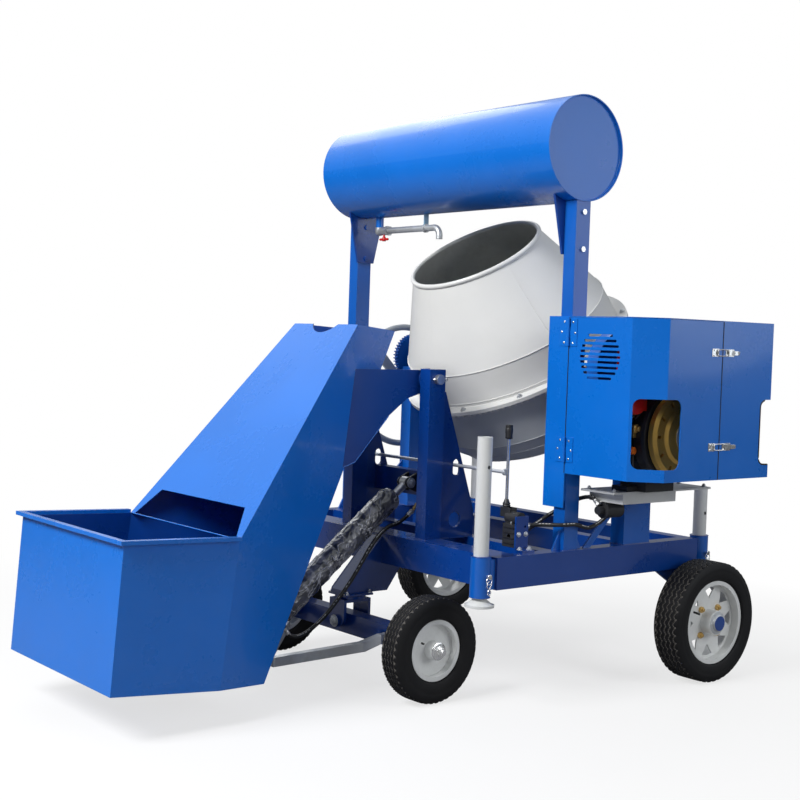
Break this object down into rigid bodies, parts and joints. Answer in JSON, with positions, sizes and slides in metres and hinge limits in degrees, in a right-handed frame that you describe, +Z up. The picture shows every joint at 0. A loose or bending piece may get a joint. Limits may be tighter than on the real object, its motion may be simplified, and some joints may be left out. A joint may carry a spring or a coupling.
{
  "type": "concrete mixer",
  "caption": "Towable concrete mixer on a steel frame with a loading hopper, tilting geared drum, covered engine and overhead water tank.",
  "frame": {"origin": "ground level under the middle of the whole mixer's footprint", "axes": "+X forward to the hopper, +Y to the engine side, +Z up"},
  "size_m": [2.6999, 2.049, 2.309],
  "materials": {
    "blue_paint": "glossy",
    "navy_paint": "glossy",
    "white_paint": "satin",
    "grey_paint": "satin",
    "ring_white": "satin",
    "galvanised": "dull zinc",
    "steel": "machined",
    "engine_dark": "matt",
    "gold_paint": "satin",
    "red_paint": "glossy",
    "rubber": "matt",
    "tyre": "matt",
    "film": "crinkled",
    "rim_grey": "satin"
  },
  "bodies": {
    "frame": {"chassis_frame": "blue_paint", "neck": "blue_paint", "leg_sleeves": "blue_paint", "rear_axle": "navy_paint", "pivot_posts": "blue_paint", "pivot_pins": "steel", "ram_lug": "engine_dark", "tank_posts": "blue_paint", "tank_saddles": "blue_paint", "water_tank": "blue_paint", "water_outlet": "galvanised", "drum_columns": "blue_paint", "column_bearings": "engine_dark", "engine_plate": "white_paint", "engine_block": "engine_dark", "fuel_tank": "red_paint", "drive_belt": "rubber", "cover_fixed": "blue_paint", "cover_hinges": "steel", "valve_block": "steel", "hydraulic_pump": "engine_dark", "oil_tank": "navy_paint", "valve_hoses": "rubber"},
    "yoke": {"yoke": "navy_paint", "tilt_gear": "engine_dark"},
    "drum": {"drum_upper": "white_paint", "drum_lower": "grey_paint", "ring_gear": "ring_white", "mixing_blades": "grey_paint"},
    "pinion": {"pinion_shaft": "steel"},
    "crank": {"flywheel": "gold_paint", "crank_pulley": "steel"},
    "handwheel": {"handwheel": "grey_paint"},
    "hopper": {"hopper_shell": "blue_paint", "hopper_rim": "blue_paint", "hopper_arms": "blue_paint"},
    "ram_rod": {"ram_rod": "steel"},
    "ram_barrel": {"ram_barrel": "engine_dark", "ram_wrap": "film", "ram_hose": "rubber"},
    "lever": {"valve_lever": "rubber"},
    "link_rod": {"link_rod": "galvanised"},
    "tap": {"tap_handle": "red_paint"},
    "door": {"engine_door": "blue_paint", "cover_latches": "steel"},
    "fork": {"steer_fork": "navy_paint"},
    "axle": {"front_axle": "navy_paint"},
    "drawbar": {"drawbar": "galvanised"},
    "leg_front_near": {"leg_front_near": "white_paint"},
    "leg_front_far": {"leg_front_far": "white_paint"},
    "leg_rear_near": {"leg_rear_near": "white_paint"},
    "leg_rear_far": {"leg_rear_far": "white_paint"},
    "rear_wheel_near": {"rear_tyre_near": "tyre", "rear_rim_near": "rim_grey"},
    "rear_wheel_far": {"rear_tyre_far": "tyre", "rear_rim_far": "rim_grey"},
    "front_wheel_near": {"front_tyre_near": "tyre", "front_rim_near": "rim_grey"},
    "front_wheel_far": {"front_tyre_far": "tyre", "front_rim_far": "rim_grey"}
  },
  "joints": [
    {"name": "drum_tilt", "type": "hinge", "parent": "frame", "child": "yoke", "pos_m": [-0.804, -0.1095, 1.272], "axis": [0, 1, 0], "range_deg": [-150, 8]},
    {"name": "drum_spin", "type": "hinge", "parent": "yoke", "child": "drum", "pos_m": [-0.804, -0.1095, 1.272], "axis": [0.5299, 0, 0.848], "continuous": true},
    {"name": "pinion_spin", "type": "hinge", "parent": "yoke", "child": "pinion", "pos_m": [-0.804, 0.3905, 1.272], "axis": [0, 1, 0], "continuous": true},
    {"name": "crank_spin", "type": "hinge", "parent": "frame", "child": "crank", "pos_m": [-0.684, 0.7905, 1.025], "axis": [0, 1, 0], "continuous": true},
    {"name": "handwheel_turn", "type": "hinge", "parent": "frame", "child": "handwheel", "pos_m": [-0.789, -0.9095, 1.13532], "axis": [0, 1, 0], "range_deg": [-36, 604]},
    {"name": "hopper_lift", "type": "hinge", "parent": "frame", "child": "hopper", "pos_m": [-0.101, -0.1095, 1.203], "axis": [0, -1, 0], "range_deg": [0, 62]},
    {"name": "ram_swing", "type": "hinge", "parent": "frame", "child": "ram_rod", "pos_m": [-0.179, -0.1095, 0.766], "axis": [0, -1, 0], "range_deg": [-1, 64.5]},
    {"name": "ram_stroke", "type": "slide", "parent": "ram_rod", "child": "ram_barrel", "axis": [0.7761, 0, -0.6306], "range_m": [-0.005, 0.47]},
    {"name": "valve_lever_tilt", "type": "hinge", "parent": "frame", "child": "lever", "pos_m": [-0.224, 0.4505, 0.715], "axis": [1, 0, 0], "range_deg": [-11, 11], "stiffness_Nm_per_rad": 20},
    {"name": "link_rod_slide", "type": "slide", "parent": "frame", "child": "link_rod", "axis": [0, 1, 0], "range_m": [-0.03, 0.03]},
    {"name": "tap_turn", "type": "hinge", "parent": "frame", "child": "tap", "pos_m": [-0.421, -0.6255, 1.82], "axis": [0, 0, 1], "range_deg": [0, 90]},
    {"name": "door_swing", "type": "hinge", "parent": "frame", "child": "door", "pos_m": [-0.3645, 0.6085, 1.1], "axis": [0, 0, -1], "range_deg": [0, 85]},
    {"name": "steer", "type": "hinge", "parent": "frame", "child": "fork", "pos_m": [0.092, -0.1095, 0.32], "axis": [0, 0, 1], "range_deg": [-25, 25]},
    {"name": "axle_rock", "type": "hinge", "parent": "fork", "child": "axle", "pos_m": [0.092, -0.1095, 0.222], "axis": [1, 0, 0], "range_deg": [-4, 4]},
    {"name": "drawbar_tilt", "type": "hinge", "parent": "axle", "child": "drawbar", "pos_m": [0.156, -0.1095, 0.216], "axis": [0, 1, 0], "range_deg": [-4, 4]},
    {"name": "leg_front_near_slide", "type": "slide", "parent": "frame", "child": "leg_front_near", "axis": [0, 0, 1], "range_m": [-0.385, 0.005]},
    {"name": "leg_front_far_slide", "type": "slide", "parent": "frame", "child": "leg_front_far", "axis": [0, 0, 1], "range_m": [-0.385, 0.005]},
    {"name": "leg_rear_near_slide", "type": "slide", "parent": "frame", "child": "leg_rear_near", "axis": [0, 0, 1], "range_m": [-0.24, 0.005]},
    {"name": "leg_rear_far_slide", "type": "slide", "parent": "frame", "child": "leg_rear_far", "axis": [0, 0, 1], "range_m": [-0.24, 0.005]},
    {"name": "rear_wheel_near_spin", "type": "hinge", "parent": "frame", "child": "rear_wheel_near", "pos_m": [-1.104, 0.7225, 0.246], "axis": [0, 1, 0], "continuous": true},
    {"name": "rear_wheel_far_spin", "type": "hinge", "parent": "frame", "child": "rear_wheel_far", "pos_m": [-1.104, -0.9415, 0.246], "axis": [0, 1, 0], "continuous": true},
    {"name": "front_wheel_near_spin", "type": "hinge", "parent": "axle", "child": "front_wheel_near", "pos_m": [0.092, 0.3955, 0.2], "axis": [0, 1, 0], "continuous": true},
    {"name": "front_wheel_far_spin", "type": "hinge", "parent": "axle", "child": "front_wheel_far", "pos_m": [0.092, -0.6145, 0.2], "axis": [0, 1, 0], "continuous": true}
  ],
  "couplings": [
    {"joint": "pinion_spin", "follows": "drum_spin", "ratio": -12},
    {"joint": "crank_spin", "follows": "drum_spin", "ratio": -46.937},
    {"joint": "handwheel_turn", "follows": "drum_tilt", "ratio": -4},
    {"joint": "ram_swing", "follows": "hopper_lift", "ratio": 1.02},
    {"joint": "ram_stroke", "follows": "hopper_lift", "m_per_rad": 0.42},
    {"joint": "link_rod_slide", "follows": "valve_lever_tilt", "m_per_rad": -0.144}
  ]
}
